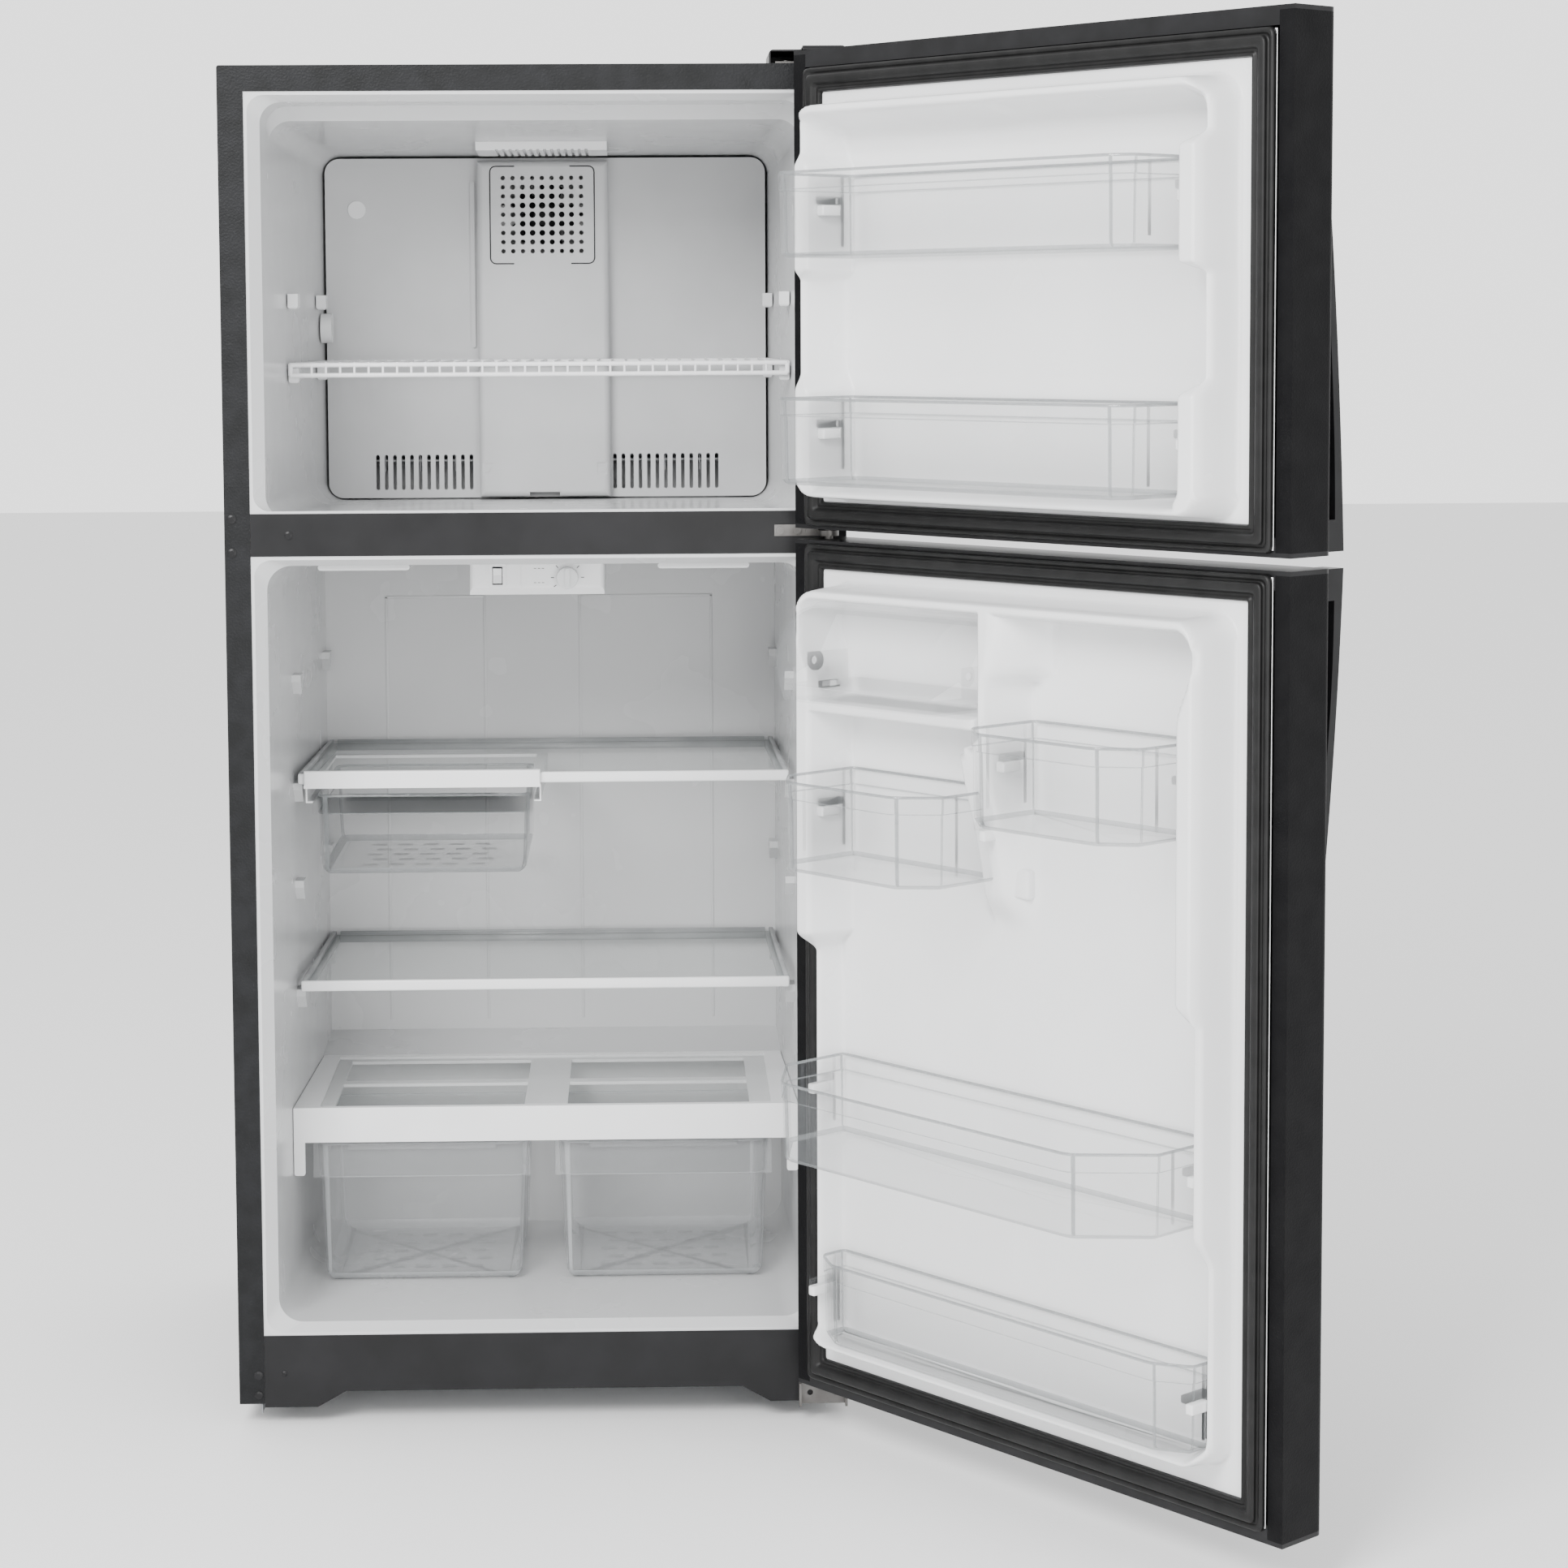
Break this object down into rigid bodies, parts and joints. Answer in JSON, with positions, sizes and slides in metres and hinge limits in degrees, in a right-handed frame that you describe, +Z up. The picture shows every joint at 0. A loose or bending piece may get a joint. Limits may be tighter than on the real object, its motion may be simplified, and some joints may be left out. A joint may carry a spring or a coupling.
{
  "type": "top freezer refrigerator",
  "caption": "Upright household refrigerator with a freezer on top, two hinged doors swung open, glass shelves, clear door bins, sliding drawers and bowed handles.",
  "frame": {"origin": "the centre of the cabinet's footprint, on the floor", "axes": "+Z up; -Y is the front, where the doors are; +X towards the hinge side; both doors stand open 130 degrees about their hinge pins"},
  "size_m": [1.2512, 1.3335, 1.6895],
  "materials": {
    "case_paint": "pebble-textured black",
    "dark_paint": "smooth satin dark grey",
    "grey_paint": "galvanised grey",
    "foam": "rigid foam",
    "white_liner": "glossy white",
    "white_trim": "satin white",
    "clear_plastic": "clear",
    "frosted_plastic": "frosted",
    "shelf_glass": "clear tempered",
    "dial_plastic": "satin light grey",
    "bulb_glass": "opal bulb",
    "white_wire": "white coated wire",
    "coil_aluminium": "mill",
    "black_plastic": "satin black",
    "motor_steel": "plated",
    "hinge_steel": "plated grey",
    "roller_plastic": "satin grey",
    "black_enamel": "black enamel",
    "door_paint": "fine-textured black",
    "seal_rubber": "black flexible"
  },
  "bodies": {
    "cabinet": {"case_wrapper": "case_paint", "mullion_rail": "dark_paint", "kick_plate": "dark_paint", "rear_panel": "grey_paint", "base_pan": "grey_paint", "drain_pan": "grey_paint", "case_foam": "foam", "freezer_liner": "white_liner", "fridge_liner": "white_liner", "evaporator_cover": "white_liner", "air_tower": "white_liner", "freezer_fittings": "white_liner", "control_housing": "white_trim", "upper_shelf_frame": "white_trim", "middle_shelf_frame": "white_trim", "snack_drawer_hanger": "white_trim", "crisper_cover_frame": "white_trim", "shelf_glasses": "shelf_glass", "crisper_cover_glass": "shelf_glass", "lamp": "bulb_glass", "wire_shelf": "white_wire", "evaporator_coil": "coil_aluminium", "hole_plugs": "black_plastic", "top_hinge_cover": "black_plastic", "power_inlet": "black_plastic", "evaporator_fan_motor": "motor_steel", "top_hinge": "hinge_steel", "middle_hinge": "hinge_steel", "bottom_hinge": "hinge_steel", "compressor": "black_enamel", "condenser_coil": "black_enamel"},
    "freezer_door": {"freezer_door_panel": "door_paint", "freezer_door_foam": "foam", "freezer_door_liner": "white_liner", "freezer_door_gasket": "seal_rubber", "freezer_door_caps": "black_plastic", "freezer_handle": "black_plastic"},
    "fridge_door": {"fridge_door_panel": "door_paint", "fridge_door_foam": "foam", "fridge_door_liner": "white_liner", "fridge_door_gasket": "seal_rubber", "fridge_door_caps": "black_plastic", "fridge_handle": "black_plastic", "dairy_tray": "clear_plastic"},
    "freezer_upper_bin": {"freezer_upper_bin": "clear_plastic"},
    "freezer_lower_bin": {"freezer_lower_bin": "clear_plastic"},
    "fridge_bin_upper_left": {"fridge_bin_upper_left": "clear_plastic"},
    "fridge_bin_upper_right": {"fridge_bin_upper_right": "clear_plastic"},
    "fridge_bin_lower": {"fridge_bin_lower": "clear_plastic"},
    "fridge_bin_bottom": {"fridge_bin_bottom": "clear_plastic"},
    "dairy_lid": {"dairy_lid": "clear_plastic"},
    "snack_drawer": {"snack_drawer": "clear_plastic"},
    "crisper_drawer_left": {"crisper_drawer_left": "frosted_plastic"},
    "crisper_drawer_right": {"crisper_drawer_right": "frosted_plastic"},
    "temperature_knob": {"temperature_knob": "dial_plastic"},
    "light_switch": {"light_switch": "white_trim"},
    "evaporator_fan": {"evaporator_fan": "black_plastic"},
    "levelling_leg_left": {"levelling_leg_left": "hinge_steel"},
    "levelling_leg_right": {"levelling_leg_right": "hinge_steel"},
    "rear_rollers": {"rear_rollers": "roller_plastic"}
  },
  "joints": [
    {"name": "freezer_door_hinge", "type": "hinge", "parent": "cabinet", "child": "freezer_door", "pos_m": [0.354, -0.376, 1.4], "axis": [0, 0, 1], "range_deg": [-130, 5]},
    {"name": "fridge_door_hinge", "type": "hinge", "parent": "cabinet", "child": "fridge_door", "pos_m": [0.354, -0.376, 0.6], "axis": [0, 0, 1], "range_deg": [-130, 5]},
    {"name": "freezer_upper_bin_lift", "type": "slide", "parent": "freezer_door", "child": "freezer_upper_bin", "axis": [0, 0, 1], "range_m": [0, 0.03]},
    {"name": "freezer_lower_bin_lift", "type": "slide", "parent": "freezer_door", "child": "freezer_lower_bin", "axis": [0, 0, 1], "range_m": [0, 0.03]},
    {"name": "fridge_bin_upper_left_lift", "type": "slide", "parent": "fridge_door", "child": "fridge_bin_upper_left", "axis": [0, 0, 1], "range_m": [0, 0.03]},
    {"name": "fridge_bin_upper_right_lift", "type": "slide", "parent": "fridge_door", "child": "fridge_bin_upper_right", "axis": [0, 0, 1], "range_m": [0, 0.03]},
    {"name": "fridge_bin_lower_lift", "type": "slide", "parent": "fridge_door", "child": "fridge_bin_lower", "axis": [0, 0, 1], "range_m": [0, 0.03]},
    {"name": "fridge_bin_bottom_lift", "type": "slide", "parent": "fridge_door", "child": "fridge_bin_bottom", "axis": [0, 0, 1], "range_m": [0, 0.03]},
    {"name": "dairy_lid_pivot", "type": "hinge", "parent": "fridge_door", "child": "dairy_lid", "pos_m": [0.41021, -0.60167, 0.968], "axis": [-0.6428, 0.766, 0], "range_deg": [0, 75]},
    {"name": "snack_drawer_slide", "type": "slide", "parent": "cabinet", "child": "snack_drawer", "axis": [0, -1, 0], "range_m": [0, 0.24]},
    {"name": "crisper_drawer_left_slide", "type": "slide", "parent": "cabinet", "child": "crisper_drawer_left", "axis": [0, -1, 0], "range_m": [0, 0.24]},
    {"name": "crisper_drawer_right_slide", "type": "slide", "parent": "cabinet", "child": "crisper_drawer_right", "axis": [0, -1, 0], "range_m": [0, 0.24]},
    {"name": "temperature_dial", "type": "hinge", "parent": "cabinet", "child": "temperature_knob", "pos_m": [0.0344, -0.19, 1.0428], "axis": [0, -1, 0], "range_deg": [-135, 135]},
    {"name": "light_switch_rocker", "type": "hinge", "parent": "cabinet", "child": "light_switch", "pos_m": [-0.0538, -0.185, 1.0455], "axis": [1, 0, 0], "range_deg": [0, 8], "stiffness_Nm_per_rad": 0.05},
    {"name": "evaporator_fan_spin", "type": "hinge", "parent": "cabinet", "child": "evaporator_fan", "pos_m": [-0.0036, 0.203, 1.509], "axis": [0, -1, 0], "continuous": true},
    {"name": "levelling_leg_left_screw", "type": "hinge", "parent": "cabinet", "child": "levelling_leg_left", "pos_m": [-0.326, -0.237, 0.03], "axis": [0, 0, 1], "continuous": true},
    {"name": "levelling_leg_right_screw", "type": "hinge", "parent": "cabinet", "child": "levelling_leg_right", "pos_m": [0.326, -0.237, 0.03], "axis": [0, 0, 1], "continuous": true},
    {"name": "rear_rollers_spin", "type": "hinge", "parent": "cabinet", "child": "rear_rollers", "pos_m": [0, 0.28, 0.022], "axis": [1, 0, 0], "continuous": true}
  ]
}
